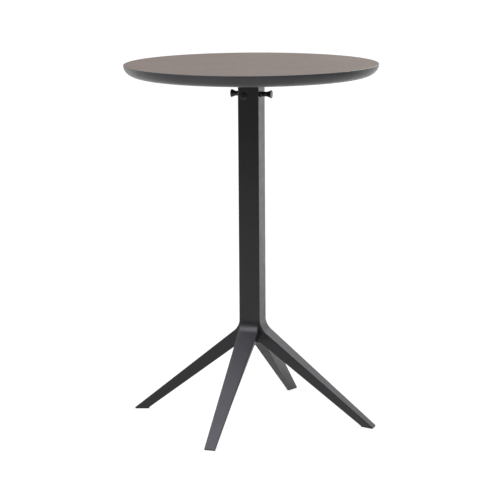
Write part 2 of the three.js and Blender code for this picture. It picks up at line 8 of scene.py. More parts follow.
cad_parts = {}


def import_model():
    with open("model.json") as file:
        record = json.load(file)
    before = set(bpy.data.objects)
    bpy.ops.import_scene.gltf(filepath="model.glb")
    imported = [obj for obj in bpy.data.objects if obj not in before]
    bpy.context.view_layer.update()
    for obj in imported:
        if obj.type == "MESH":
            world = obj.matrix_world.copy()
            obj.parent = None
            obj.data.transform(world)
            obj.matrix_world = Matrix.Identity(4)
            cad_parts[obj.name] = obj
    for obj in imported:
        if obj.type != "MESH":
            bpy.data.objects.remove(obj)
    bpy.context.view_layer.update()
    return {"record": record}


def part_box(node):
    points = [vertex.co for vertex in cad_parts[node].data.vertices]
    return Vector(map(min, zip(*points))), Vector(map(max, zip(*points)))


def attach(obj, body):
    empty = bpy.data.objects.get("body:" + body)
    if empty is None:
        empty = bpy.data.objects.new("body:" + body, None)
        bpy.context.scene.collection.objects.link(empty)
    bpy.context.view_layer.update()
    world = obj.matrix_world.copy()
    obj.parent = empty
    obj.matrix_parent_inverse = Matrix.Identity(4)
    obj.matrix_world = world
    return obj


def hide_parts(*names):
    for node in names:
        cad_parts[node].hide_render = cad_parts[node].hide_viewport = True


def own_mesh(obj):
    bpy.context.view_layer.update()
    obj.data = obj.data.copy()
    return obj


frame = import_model()

MM = 0.001

# ---- Sizes taken from the frame ----
TOP_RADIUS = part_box("top_core")[1].x
TOP_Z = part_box("top_sheet")[1].z
SHEET_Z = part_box("top_sheet")[0].z
SHEET_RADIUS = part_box("top_sheet")[1].x
UNDERSIDE_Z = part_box("top_core")[0].z
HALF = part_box("column_tube")[1].x
FOOT_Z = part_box("column_tube")[0].z
HEAD_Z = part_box("column_tube")[1].z
GLIDE_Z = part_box("leg_right")[0].z
CROTCH_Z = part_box("tie_washer_lower")[1].z
PIVOT_Y = (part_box("pivot_pin")[0].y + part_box("pivot_pin")[1].y) / 2
PIVOT_Z = (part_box("pivot_pin")[0].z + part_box("pivot_pin")[1].z) / 2
LATCH_Y = (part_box("latch_rod")[0].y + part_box("latch_rod")[1].y) / 2
LATCH_Z = (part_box("latch_rod")[0].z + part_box("latch_rod")[1].z) / 2
BOLT_X = (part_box("head_bolt")[0].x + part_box("head_bolt")[1].x) / 2
BOLT_Z = (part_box("head_bolt")[0].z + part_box("head_bolt")[1].z) / 2

# ---- Sizes of the shapes inside those boxes ----
NOSE_REACH = 43 * MM
EDGE_ROUND = 1.8 * MM
CORNER = 5 * MM
PLUG_CORNER = 3 * MM
WALL = 3 * MM
LEG_REACH = 359 * MM
LEG_ROOT_Z = 267.4 * MM
LEG_HEEL = 320.4 * MM
LEG_BELLY_Z = 242.4 * MM
LEG_BEND = 45 * MM
LEG_LENGTH = 420 * MM
LEG_ROOT_HALF = 29.9 * MM
LEG_TIP_HALF = 17.3 * MM
BELLY_ROOT_HALF = 18.3 * MM
BELLY_TIP_HALF = 3.2 * MM
LEG_GAP = 0.3 * MM
LEG_EDGE = 3.5 * MM
TIP_ROUND = 2 * MM
BELLY_ROUND = 2.6 * MM
LEG_SCREW_R = 17 * MM
GLIDE_SCREW_R = 335 * MM
BORE_HALF = 26.7 * MM
POCKET_HALF = 19.5 * MM
SLOT_FRONT_Y = -22 * MM
SLOT_HALF = 6.5 * MM
WEB_Y = -20 * MM
CHEEK_X = 13 * MM
CHEEK_THICKNESS = 5 * MM
CHEEK_RADIUS = 16 * MM
PLATE_SCREW_XY = 72 * MM
PLATE_THICKNESS = 4 * MM
SPRING_SEAT_Y = -24.6 * MM
SPRING_END_Y = LATCH_Y - 6 * MM

CAMERA_AZIMUTH = math.radians(19.26)

# ---- How finely round things are divided ----
RIM_STEPS = 256
ROUND_STEPS = 48
SCREW_STEPS = 24
BORE_STEPS = 32
CORNER_STEPS = 8
SHARP_ANGLE = 32

# ---- Working tolerances: how far a cutting tool overshoots, and what counts as touching ----
OVER = 1 * MM
WELD = 0.002 * MM
ON_AXIS = 1e-9


# ==== Outlines: lists of (u, v) points ====
def rounded(points, closed=True, steps=CORNER_STEPS):
    """The outline with its corners filleted. A point is (u, v) or (u, v, radius)."""
    count = len(points)
    made = []
    for i, point in enumerate(points):
        radius = point[2] if len(point) > 2 else 0
        corner = Vector(point[:2])
        if radius <= 0 or (not closed and i in (0, count - 1)):
            made.append(corner)
            continue
        back = (Vector(points[i - 1][:2]) - corner).normalized()
        ahead = (Vector(points[(i + 1) % count][:2]) - corner).normalized()
        half_angle = back.angle(ahead) / 2
        start = corner + back * (radius / math.tan(half_angle))
        centre = corner + (back + ahead).normalized() * (radius / math.sin(half_angle))
        turn = math.pi - 2 * half_angle
        if back.cross(ahead) > 0:
            turn = -turn
        arm = start - centre
        for k in range(steps + 1):
            angle = turn * k / steps
            made.append(centre + Matrix.Rotation(angle, 2) @ arm)
    return made


def square(half, radius):
    """A square with rounded corners. Half is the distance from its centre to a side."""
    corners = [(-half, -half), (half, -half), (half, half), (-half, half)]
    return rounded([(u, v, radius) for u, v in corners])


def circle(radius, steps=ROUND_STEPS, centre=(0, 0)):
    made = []
    for k in range(steps):
        angle = 2 * math.pi * k / steps
        made.append(Vector(centre) + radius * Vector((math.cos(angle), math.sin(angle))))
    return made


def stadium(u0, u1, v, radius):
    """A long round-ended hole from u0 to u1 at height v."""
    made = []
    for centre, first in ((u1 - radius, -math.pi / 2), (u0 + radius, math.pi / 2)):
        for k in range(2 * CORNER_STEPS + 1):
            angle = first + math.pi * k / (2 * CORNER_STEPS)
            made.append(Vector((centre + radius * math.cos(angle), v + radius * math.sin(angle))))
    return made


# ==== Solids ====
# A shape's (u, v, height) is (x, y, z) along Z, (y, z, x) along X and (z, x, y) along Y.
def placed(u, v, height, axis):
    return {
        "z": Vector((u, v, height)),
        "x": Vector((height, u, v)),
        "y": Vector((v, height, u)),
    }[axis]


def skin(rows, wrap=False):
    """A closed surface over rows of points. A row is a closed ring, or one point at a tip."""
    bm = bmesh.new()
    made = [[bm.verts.new(point) for point in row] for row in rows]
    around = max(len(row) for row in rows)
    pairs = list(zip(made, made[1:]))
    if wrap:
        pairs.append((made[-1], made[0]))
    for low, high in pairs:
        for k in range(around):
            n = (k + 1) % around
            ring = [low[k % len(low)], low[n % len(low)], high[n % len(high)], high[k % len(high)]]
            corners = list(dict.fromkeys(ring))
            if len(corners) > 2:
                bm.faces.new(corners)
    if not wrap:
        for row in (made[0][::-1], made[-1]):
            if len(row) > 2:
                bm.faces.new(row)
    bmesh.ops.recalc_face_normals(bm, faces=bm.faces)
    return bm


def prism(outline, low, high, axis="z"):
    return skin([[placed(u, v, height, axis) for u, v in outline] for height in (low, high)])


def lathe(profile, axis="z", centre=(0, 0), steps=ROUND_STEPS):
    """A turned solid. Its (radius, height) profile runs between two points on the axis, or is
    a closed ring that doesn't repeat its first point."""
    tips = profile[0][0] < ON_AXIS and profile[-1][0] < ON_AXIS
    rows = []
    for radius, height in profile:
        around = circle(radius, steps) if radius > ON_AXIS else [Vector((0, 0))]
        rows.append([placed(u + centre[0], v + centre[1], height, axis) for u, v in around])
    return skin(rows, wrap=not tips)


def block(x0, x1, y0, y1, z0, z1):
    return prism([(x0, y0), (x1, y0), (x1, y1), (x0, y1)], z0, z1)


def temporary(bm):
    mesh = bpy.data.meshes.new("temporary")
    bm.to_mesh(mesh)
    bm.free()
    thing = bpy.data.objects.new("temporary", mesh)
    bpy.context.scene.collection.objects.link(thing)
    return thing


def combine(body, operation, *tools):
    """The body with each tool cut from it (DIFFERENCE), joined (UNION) or kept (INTERSECT)."""
    things = [temporary(bm) for bm in (body, *tools)]
    for tool in things[1:]:
        step = things[0].modifiers.new("step", "BOOLEAN")
        step.operation = operation
        step.solver = "EXACT"
        step.object = tool
    graph = bpy.context.evaluated_depsgraph_get()
    bm = bmesh.new()
    bm.from_mesh(things[0].evaluated_get(graph).to_mesh())
    for thing in things:
        bpy.data.meshes.remove(thing.data)
    bmesh.ops.remove_doubles(bm, verts=bm.verts, dist=WELD)
    return bm


def cut(body, *tools):
    return combine(body, "DIFFERENCE", *tools)


def soften(bm, width, angle=SHARP_ANGLE):
    """Merges the flat faces, then eases every edge that turns by more than the angle."""
    flat = math.radians(0.1)
    bmesh.ops.dissolve_limit(
        bm, angle_limit=flat, verts=bm.verts, edges=bm.edges, use_dissolve_boundaries=False
    )
    limit = math.radians(angle)
    sharp = [e for e in bm.edges if len(e.link_faces) == 2 and e.calc_face_angle(0) > limit]
    bmesh.ops.bevel(
        bm, geom=sharp, offset=width, offset_type="OFFSET", segments=3,
        profile=0.5, affect="EDGES", clamp_overlap=True,
    )
    return bm


def slice_off(bm, point, normal):
    """Removes what lies beyond the plane and closes the cut."""
    everything = bm.verts[:] + bm.edges[:] + bm.faces[:]
    done = bmesh.ops.bisect_plane(
        bm, geom=everything, plane_co=point, plane_no=normal, clear_outer=True, dist=0.001 * MM
    )
    edges = [e for e in done["geom_cut"] if isinstance(e, bmesh.types.BMEdge)]
    bmesh.ops.edgeloop_fill(bm, edges=edges)
    return bm


def quarter_turned(bm, quarter):
    turn = Matrix.Rotation(quarter * math.pi / 2, 3, "Z")
    bmesh.ops.rotate(bm, cent=(0, 0, 0), matrix=turn, verts=bm.verts)
    return bm


# ==== Finished pieces ====
body_of = {}
for body, members in frame["record"]["behaviour"]["bodies"].items():
    for member in members:
        body_of[member] = body


def finished(node, bm, material):
    """Puts a built solid in the scene in place of its CAD node."""
    bmesh.ops.recalc_face_normals(bm, faces=bm.faces)
    mesh = bpy.data.meshes.new(f"{node}_fine")
    bm.to_mesh(mesh)
    bm.free()
    mesh.materials.append(material)
    mesh.shade_smooth()
    mesh.set_sharp_from_angle(angle=math.radians(SHARP_ANGLE))
    piece = bpy.data.objects.new(f"{node}_fine", mesh)
    bpy.context.scene.collection.objects.link(piece)
    weighted = piece.modifiers.new("weighted", "WEIGHTED_NORMAL")
    weighted.keep_sharp = True
    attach(piece, body_of[node])
    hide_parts(node)
    return piece


# ==== Materials ====
class Graph:
    """Builds a material's nodes. An input given as a socket is linked, and a value is set."""

    def __init__(self, tree):
        self.tree = tree
        tree.nodes.clear()

    def add(self, kind, inputs=None, **settings):
        node = self.tree.nodes.new(kind)
        for key, value in settings.items():
            setattr(node, key, value)
        for key, value in (inputs or {}).items():
            if isinstance(value, bpy.types.NodeSocket):
                self.tree.links.new(value, node.inputs[key])
            else:
                node.inputs[key].default_value = value
        return node

    def noise(self, place, scale, detail=2.0, roughness=0.5):
        inputs = {"Vector": place, "Scale": scale, "Detail": detail, "Roughness": roughness}
        return self.add("ShaderNodeTexNoise", inputs).outputs["Fac"]

    def map_range(self, value, start, end, low, high, **settings):
        inputs = {
            "Value": value, "From Min": start, "From Max": end, "To Min": low, "To Max": high,
        }
        return self.add("ShaderNodeMapRange", inputs, **settings).outputs["Result"]

    def spread(self, value, low, high, bottom=0.3, top=0.7):
        """Maps a noise's middle range onto low to high."""
        return self.map_range(value, bottom, top, low, high)

    def ramp(self, value, start, end, low, high):
        """Goes smoothly from low to high as the value goes from start to end."""
        return self.map_range(value, start, end, low, high, interpolation_type="SMOOTHSTEP")

    def behind_camera(self, place):
        """How far a place lies behind the table, as the camera looks at it."""
        way = (-math.sin(CAMERA_AZIMUTH), math.cos(CAMERA_AZIMUTH), 0)
        node = self.add("ShaderNodeVectorMath", {0: place, 1: way}, operation="DOT_PRODUCT")
        return node.outputs["Value"]

    def math(self, operation, a, b):
        return self.add("ShaderNodeMath", {0: a, 1: b}, operation=operation).outputs[0]

    def mix(self, share, a, b):
        """A colour between a and b. Each is a socket or three channels."""
        node = self.add("ShaderNodeMix", {"Factor": share}, data_type="RGBA")
        colour_a, colour_b, result = node.inputs[6], node.inputs[7], node.outputs[2]
        for socket, value in ((colour_a, a), (colour_b, b)):
            if isinstance(value, bpy.types.NodeSocket):
                self.tree.links.new(value, socket)
            else:
                socket.default_value = (*value, 1)
        return result

    def bump(self, height, strength, distance, normal=None):
        inputs = {"Height": height, "Strength": strength, "Distance": distance}
        if normal is not None:
            inputs["Normal"] = normal
        return self.add("ShaderNodeBump", inputs).outputs["Normal"]

    def edges(self, width):
        """1 on a worn edge and 0 on a face: how far a rounded normal leans from the true one."""
        soft = self.add("ShaderNodeBevel", {"Radius": width}, samples=4).outputs["Normal"]
        true = self.add("ShaderNodeNewGeometry").outputs["Normal"]
        node = self.add("ShaderNodeVectorMath", {0: soft, 1: true}, operation="DOT_PRODUCT")
        return self.spread(node.outputs["Value"], 1.0, 0.0, 0.86, 0.99)


def material(name, build):
    """A principled material whose inputs come from build(graph, place)."""
    made = bpy.data.materials.new(name)
    made.use_nodes = True
    graph = Graph(made.node_tree)
    place = graph.add("ShaderNodeTexCoord").outputs["Object"]
    surface = graph.add("ShaderNodeBsdfPrincipled", build(graph, place))
    graph.add("ShaderNodeOutputMaterial", {"Surface": surface.outputs[0]})
    return made


def scaled(colour, factor):
    return tuple(channel * factor for channel in colour)


def powder_coat(name, colour, rough=0.34):
    """Satin powder coat: orange peel, a fine grain, slow drifts of tone and polished edges."""

    def build(g, place):
        drift = g.noise(place, 9.0, 3.0)
        speckle = g.noise(place, 1900.0, 2.0)
        peel = g.noise(place, 420.0, 2.0, 0.6)
        grain = g.noise(place, 2600.0, 3.0, 0.7)
        worn = g.edges(1.2 * MM)
        tone = g.mix(g.spread(drift, 0, 1), scaled(colour, 0.93), scaled(colour, 1.07))
        tone = g.mix(g.spread(speckle, 0, 0.35, 0.55, 0.75), tone, scaled(colour, 1.7))
        tone = g.mix(g.math("MULTIPLY", worn, 0.35), tone, scaled(colour, 1.6))
        sheen = g.spread(g.noise(place, 35.0, 4.0), rough - 0.04, rough + 0.05)
        sheen = g.math("SUBTRACT", sheen, g.math("MULTIPLY", worn, 0.08))
        normal = g.bump(peel, 0.25, 0.10 * MM)
        normal = g.bump(grain, 0.30, 0.03 * MM, normal)
        return {"Base Color": tone, "Roughness": sheen, "IOR": 1.5, "Normal": normal}

    return material(name, build)


def laminate_sheet():
    """Warm grey high-pressure laminate: soft clouds, a fine mineral grain and a dead matt skin."""
    light = (0.119, 0.089, 0.068)
    dark = (0.098, 0.072, 0.055)

    def build(g, place):
        cloud = g.noise(place, 7.0, 5.0, 0.6)
        grain = g.noise(place, 700.0, 4.0, 0.7)
        fleck = g.noise(place, 240.0, 3.0, 0.65)
        tone = g.mix(g.spread(cloud, 0, 1), dark, light)
        tone = g.mix(g.spread(grain, 0, 0.4), tone, scaled(light, 1.25))
        tone = g.mix(g.spread(fleck, 0, 0.3, 0.62, 0.78), tone, scaled(dark, 0.6))
        sheen = g.spread(g.noise(place, 60.0, 4.0), 0.60, 0.70)
        normal = g.bump(grain, 0.35, 0.04 * MM)
        return {"Base Color": tone, "Roughness": sheen, "IOR": 1.42, "Normal": normal}

    return material("laminate", build)


def moulded(name, colour, rough, coat=0.0, grain_depth=0.02):
    """Moulded plastic or rubber: a faint flow in the tone, fine grain and rubbed edges."""

    def build(g, place):
        flow = g.noise(place, 60.0, 3.0)
        grain = g.noise(place, 1500.0, 3.0, 0.6)
        worn = g.edges(0.8 * MM)
        tone = g.mix(g.spread(flow, 0, 1), scaled(colour, 0.85), scaled(colour, 1.2))
        tone = g.mix(g.math("MULTIPLY", worn, 0.3), tone, scaled(colour, 2.0))
        sheen = g.spread(g.noise(place, 180.0, 3.0), rough * 0.85, rough * 1.2)
        normal = g.bump(grain, 0.3, grain_depth * MM)
        return {
            "Base Color": tone, "Roughness": sheen, "IOR": 1.5,
            "Coat Weight": coat, "Coat Roughness": 0.08, "Normal": normal,
        }

    return material(name, build)


def bare_metal(name, colour, rough, grain_depth=0.02):
    """Plated or cast metal: a fine casting or plating grain, dull patches and bright edges."""

    def build(g, place):
        grain = g.noise(place, 900.0, 3.0, 0.6)
        patch = g.noise(place, 90.0, 3.0)
        worn = g.edges(0.8 * MM)
        tone = g.mix(g.spread(patch, 0, 1), scaled(colour, 0.82), scaled(colour, 1.1))
        tone = g.mix(g.math("MULTIPLY", worn, 0.4), tone, scaled(colour, 1.3))
        sheen = g.spread(patch, rough + 0.08, rough - 0.05)
        normal = g.bump(grain, 0.4, grain_depth * MM)
        return {"Base Color": tone, "Metallic": 1.0, "Roughness": sheen, "Normal": normal}

    return material(name, build)


column_paint = powder_coat("column_paint", (0.022, 0.0215, 0.024))
leg_paint = powder_coat("leg_paint", (0.024, 0.0235, 0.0265))
core_paint = powder_coat("core_paint", (0.058, 0.0565, 0.061), rough=0.42)
bracket_paint = powder_coat("bracket_paint", (0.025, 0.025, 0.027), rough=0.5)
laminate = laminate_sheet()
knob_plastic = moulded("knob_plastic", (0.026, 0.021, 0.018), 0.28, coat=0.1, grain_depth=0.004)
glide_plastic = moulded("glide_plastic", (0.014, 0.014, 0.014), 0.5)
bush_plastic = moulded("bush_plastic", (0.02, 0.02, 0.02), 0.45)
pad_rubber = moulded("pad_rubber", (0.013, 0.013, 0.014), 0.8, grain_depth=0.05)
zinc = bare_metal("zinc_steel", (0.52, 0.53, 0.54), 0.34)
brass = bare_metal("insert_brass", (0.62, 0.45, 0.20), 0.36)
casting = bare_metal("bare_casting", (0.45, 0.45, 0.46), 0.5, grain_depth=0.08)


# ==== Top ====
def top_core():
    """The body of the top: a flat underside, a quarter ellipse up to the rim and a rounded rim
    round the recess that the sheet lies in."""
    nose_top = TOP_Z - EDGE_ROUND
    flat = TOP_RADIUS - NOSE_REACH
    rim_inner = TOP_RADIUS - EDGE_ROUND
    profile = [(0, UNDERSIDE_Z), (flat * 0.45, UNDERSIDE_Z)]
    nose_steps = 28
    for k in range(nose_steps + 1):
        angle = math.pi / 2 * k / nose_steps
        drop = (nose_top - UNDERSIDE_Z) * math.cos(angle)
        profile.append((flat + NOSE_REACH * math.sin(angle), nose_top - drop))
    round_steps = 8
    for k in range(1, round_steps + 1):
        angle = math.pi / 2 * k / round_steps
        radius = rim_inner + EDGE_ROUND * math.cos(angle)
        profile.append((radius, nose_top + EDGE_ROUND * math.sin(angle)))
    profile += [(rim_inner, SHEET_Z), (flat * 0.5, SHEET_Z), (0, SHEET_Z)]
    body = lathe(profile, steps=RIM_STEPS)
    bore, depth = 6 * MM, 15 * MM
    hole = [
        (0, UNDERSIDE_Z - depth), (bore, UNDERSIDE_Z - depth),
        (bore, UNDERSIDE_Z + depth), (0, UNDERSIDE_Z + depth),
    ]
    holes = [lathe(hole, centre=place, steps=SCREW_STEPS) for place in screw_places()]
    return cut(body, *holes)


def screw_places():
    """Where the tilt bracket's four screws go."""
    return [(x * PLATE_SCREW_XY, y * PLATE_SCREW_XY) for x in (1, -1) for y in (1, -1)]


def top_sheet():
    """The laminate disc, with an extra ring half way out on each face."""
    ease = 0.4 * MM
    profile = rounded(
        [(0, SHEET_Z), (SHEET_RADIUS, SHEET_Z), (SHEET_RADIUS, TOP_Z, ease), (0, TOP_Z)],
        closed=False, steps=3,
    )
    profile.insert(1, Vector((SHEET_RADIUS / 2, SHEET_Z)))
    profile.insert(len(profile) - 1, Vector((SHEET_RADIUS / 2, TOP_Z)))
    return lathe(profile, steps=RIM_STEPS)


finished("top_core", top_core(), core_paint)
finished("top_sheet", top_sheet(), laminate)


# ==== Fasteners ====
def screw_solid(head_radius, head_height, shank_radius, length, socket_radius):
    """A low domed screw with a hexagon socket. It stands on +Z, with the head below z = 0."""
    dome = [
        (head_radius * 0.60, -head_height), (head_radius * 0.84, -head_height * 0.82),
        (head_radius * 0.97, -head_height * 0.45), (head_radius, -head_height * 0.16),
    ]
    tip = 0.8 * MM
    profile = [
        (0, -head_height), *dome, (head_radius * 0.99, 0), (shank_radius, 0),
        (shank_radius, length - tip), (shank_radius - tip, length), (0, length),
    ]
    deep = head_height * 0.6
    socket = prism(circle(socket_radius, 6), -head_height - OVER, deep - head_height)
    return cut(lathe(profile), socket)


def moved(bm, place, turn=None):
    """Turns the solid about the origin, then moves it to its place."""
    if turn is not None:
        bmesh.ops.rotate(bm, cent=(0, 0, 0), matrix=turn, verts=bm.verts)
    bmesh.ops.translate(bm, vec=place, verts=bm.verts)
    return bm


def hex_nut(across_flats, low, high, bore):
    """A hexagon nut, its corners turned off at both ends."""
    corner = across_flats / math.sqrt(3)
    turned_off = 0.9 * MM
    cone = [
        (0, low), (across_flats / 2, low), (corner, low + turned_off),
        (corner, high - turned_off), (across_flats / 2, high), (0, high),
    ]
    body = combine(prism(circle(corner, 6), low, high), "INTERSECT", lathe(cone))
    sink = 0.8 * MM
    hole = [
        (0, low - sink), (bore + 2 * sink, low - sink), (bore, low + sink),
        (bore, high - sink), (bore + 2 * sink, high + sink), (0, high + sink),
    ]
    return cut(body, lathe(hole))


def ring(inner, outer, low, high, centre=(0, 0), steps=ROUND_STEPS):
    """A washer or sleeve with eased edges."""
    ease = 0.4 * MM
    outline = [(inner, low, ease), (outer, low, ease), (outer, high, ease), (inner, high, ease)]
    return lathe(rounded(outline, steps=2), centre=centre, steps=steps)


# ==== Legs: built pointing along +X, then turned to their side ====
slope = math.atan2(LEG_ROOT_Z, LEG_REACH - HALF)
belly_slope = LEG_BELLY_Z / LEG_HEEL
bend_turn = math.pi / 2 - slope
bend_z = LEG_ROOT_Z + LEG_BEND * math.tan(bend_turn / 2)
down_leg = Vector((math.cos(slope), -math.sin(slope)))
into_leg = Vector((-math.sin(slope), -math.cos(slope)))


def half_widths(along):
    """Half the widths of the upper face and of the underside, along the leg from its root."""
    share = along / LEG_LENGTH
    upper = LEG_ROOT_HALF + (LEG_TIP_HALF - LEG_ROOT_HALF) * share
    return upper, BELLY_ROOT_HALF + (BELLY_TIP_HALF - BELLY_ROOT_HALF) * share


def leg_rows():
    """Sections from the column to past the floor: (outer point, inner point, half the width of
    the upper face, half the width of the underside, radius of the upper edges)."""
    rows = [(Vector((HALF, FOOT_Z)), Vector((0, FOOT_Z)), HALF, HALF, CORNER)]
    centre = Vector((HALF + LEG_BEND, bend_z))
    crotch_turn = math.atan2(bend_z - CROTCH_Z, centre.x)
    bend_length = LEG_BEND * math.tan(bend_turn / 2)
    upper_end, belly_end = half_widths(bend_length)
    bend_steps = 16
    turns = [bend_turn * k / bend_steps for k in range(bend_steps + 1)] + [crotch_turn]
    for turn in sorted(turns):
        way = Vector((-math.cos(turn), -math.sin(turn)))
        reach = centre.x / math.cos(turn)
        if turn > crotch_turn:
            reach = (bend_z - CROTCH_Z) / math.sin(turn)
        share = turn / bend_turn
        upper = HALF + (upper_end - HALF) * share ** 2
        belly = HALF + (belly_end - HALF) * share
        edge = CORNER + (LEG_EDGE - CORNER) * share ** 2
        rows.append((centre + way * LEG_BEND, centre + way * reach, upper, belly, edge))
    root = Vector((HALF, LEG_ROOT_Z))
    belly_corner = Vector((LEG_HEEL - CROTCH_Z / belly_slope, CROTCH_Z))
    first = (belly_corner - root).dot(down_leg)
    past_floor = 8 * MM
    last = LEG_LENGTH + past_floor
    straight_steps = 14
    for k in range(straight_steps + 1):
        along = first + (last - first) * k / straight_steps
        outer = root + down_leg * along
        above_belly = outer.y - belly_slope * (LEG_HEEL - outer.x)
        depth = above_belly / (math.cos(slope) + belly_slope * math.sin(slope))
        edge = LEG_EDGE + (TIP_ROUND - LEG_EDGE) * (along - first) / (last - first)
        rows.append((outer, outer + into_leg * depth, *half_widths(along), edge))
    return rows


def leg_section(outer, inner, upper, belly, edge):
    """One closed ring of the leg: a trapezoid with rounded corners."""
    depth = (inner - outer).length
    outline = rounded([
        (-upper, 0, edge), (-belly, depth, BELLY_ROUND),
        (belly, depth, BELLY_ROUND), (upper, 0, edge),
    ])
    into = (inner - outer) / depth
    ring_points = []
    for side, deep in outline:
        at = outer + into * deep
        ring_points.append(Vector((at.x, side, at.y)))
    return ring_points


def leg():
    """The leg's sections joined, mitred against its two neighbours, cut level and drilled."""
    body = skin([leg_section(*row) for row in leg_rows()])
    gap = LEG_GAP / math.sqrt(2)
    for side in (1, -1):
        slice_off(body, (gap, 0, 0), (-1, side, 0))
    slice_off(body, (0, 0, GLIDE_Z), (0, 0, -1))
    above, below = FOOT_Z + OVER, CROTCH_Z - OVER
    rod_bore, screw_bore, glide_bore, glide_bore_top = 5.6 * MM, 3.3 * MM, 2.1 * MM, 13.5 * MM
    screw_hole = circle(screw_bore, SCREW_STEPS, (LEG_SCREW_R, 0))
    glide_hole = circle(glide_bore, SCREW_STEPS, (GLIDE_SCREW_R, 0))
    body = cut(
        body,
        prism(circle(rod_bore), below, above),
        prism(screw_hole, below, above),
        prism(glide_hole, GLIDE_Z - OVER, glide_bore_top),
    )
    return soften(body, 0.35 * MM)


def glide():
    """The plastic pad under the foot, set in from the foot's outline, with its screw's hole."""
    inset = 1 * MM
    heel = LEG_HEEL - GLIDE_Z / belly_slope
    toe = LEG_REACH - GLIDE_Z / math.tan(slope)
    root = Vector((HALF, LEG_ROOT_Z))
    heel_half = half_widths((Vector((heel, GLIDE_Z)) - root).dot(down_leg))[1] - inset
    toe_half = half_widths((Vector((toe, GLIDE_Z)) - root).dot(down_leg))[0] - inset
    outline = rounded([
        (heel + inset, -heel_half, 1 * MM), (toe - inset, -toe_half, 2 * MM),
        (toe - inset, toe_half, 2 * MM), (heel + inset, heel_half, 1 * MM),
    ])
    pad = prism(outline, 0, GLIDE_Z)
    mouth, mouth_top, bore, bore_start = 4.3 * MM, 0.6 * MM, 2.1 * MM, 2.7 * MM
    sink = [
        (0, -OVER), (mouth, -OVER), (mouth, mouth_top), (bore, bore_start),
        (bore, GLIDE_Z + OVER), (0, GLIDE_Z + OVER),
    ]
    return soften(cut(pad, lathe(sink, centre=(GLIDE_SCREW_R, 0), steps=BORE_STEPS)), 0.4 * MM)


def glide_screw():
    """A countersunk screw, its profile in millimetres, with a hexagon socket."""
    profile = [
        (0, 0.7), (3.8, 0.7), (4.0, 0.85), (1.95, 2.7), (1.95, 11.5), (0.6, 12.5), (0, 12.5),
    ]
    body = lathe([(r * MM, z * MM) for r, z in profile], steps=SCREW_STEPS)
    socket_radius, socket_top = 1.4 * MM, 1.7 * MM
    body = cut(body, prism(circle(socket_radius, 6), 0, socket_top))
    return moved(body, (GLIDE_SCREW_R, 0, 0))


for quarter, side in enumerate(("right", "back", "left", "front")):
    finished(f"leg_{side}", quarter_turned(leg(), quarter), leg_paint)
    finished(f"glide_{side}", quarter_turned(glide(), quarter), glide_plastic)
    finished(f"glide_screw_{side}", quarter_turned(glide_screw(), quarter), zinc)
    screw = screw_solid(
        head_radius=4.8 * MM, head_height=4 * MM, shank_radius=3 * MM, length=90 * MM,
        socket_radius=2.4 * MM,
    )
    moved(screw, (LEG_SCREW_R, 0, CROTCH_Z))
    finished(f"leg_screw_{side}", quarter_turned(screw, quarter), zinc)


# ==== Column, spigot and tie rod ====
def latch_slot():
    """What the latch rod's slot takes out, right through from side to side."""
    reach = 100 * MM
    outline = stadium(SLOT_FRONT_Y, LATCH_Y + SLOT_HALF, LATCH_Z, SLOT_HALF)
    return prism(outline, -reach, reach, "x")


def column_tube():
    """The square tube, with the latch's slots, the bolt's hole and, at the back, the notch that
    the bracket's cheeks swing through."""
    ease = 0.3 * MM
    inner = HALF - WALL
    rows = [
        (HALF - ease, FOOT_Z), (HALF, FOOT_Z + ease), (HALF, HEAD_Z - ease), (HALF - ease, HEAD_Z),
        (inner, HEAD_Z), (inner, FOOT_Z),
    ]
    rings = []
    for half, height in rows:
        radius = CORNER - (HALF - half)
        rings.append([Vector((u, v, height)) for u, v in square(half, radius)])
    tube = skin(rings, wrap=True)
    notch_room = 5 * MM
    notch_z = PIVOT_Z - CHEEK_RADIUS - notch_room
    notch = block(-POCKET_HALF, POCKET_HALF, inner - OVER, HALF + OVER, notch_z, HEAD_Z + OVER)
    bolt_bore = circle(4.3 * MM, BORE_STEPS, (BOLT_Z, BOLT_X))
    bolt_hole = prism(bolt_bore, -HALF - OVER, -inner + OVER, "y")
    return soften(cut(tube, latch_slot(), notch, bolt_hole), 0.35 * MM, angle=50)


def spigot():
    """The block in the column's foot, bored for the tie rod and the leg screws."""
    low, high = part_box("spigot")[0].z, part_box("spigot")[1].z
    rod_bore, screw_bore, screw_depth = 5.4 * MM, 3.1 * MM, 24 * MM
    body = prism(square(BORE_HALF, PLUG_CORNER), low, high)
    holes = [prism(circle(rod_bore), low - OVER, high + OVER)]
    for quarter in range(4):
        place = Matrix.Rotation(quarter * math.pi / 2, 2) @ Vector((LEG_SCREW_R, 0))
        screw_hole = circle(screw_bore, SCREW_STEPS, place)
        holes.append(prism(screw_hole, low - OVER, low + screw_depth))
    return soften(cut(body, *holes), 0.6 * MM)


def tie_rod():
    low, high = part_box("tie_rod")
    radius = high.x
    bevel = 1 * MM
    profile = [
        (0, low.z), (radius - bevel, low.z), (radius, low.z + bevel),
        (radius, high.z - bevel), (radius - bevel, high.z), (0, high.z),
    ]
    return lathe(profile)


finished("column_tube", column_tube(), column_paint)
finished("spigot", spigot(), casting)
finished("tie_rod", tie_rod(), zinc)
for end in ("lower", "upper"):
    washer_low, washer_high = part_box(f"tie_washer_{end}")
    washer = ring(5.25 * MM, washer_high.x, washer_low.z, washer_high.z)
    finished(f"tie_washer_{end}", washer, zinc)
    nut_low, nut_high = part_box(f"tie_nut_{end}")
    nut = hex_nut(across_flats=17 * MM, low=nut_low.z, high=nut_high.z, bore=5.1 * MM)
    finished(f"tie_nut_{end}", nut, zinc)


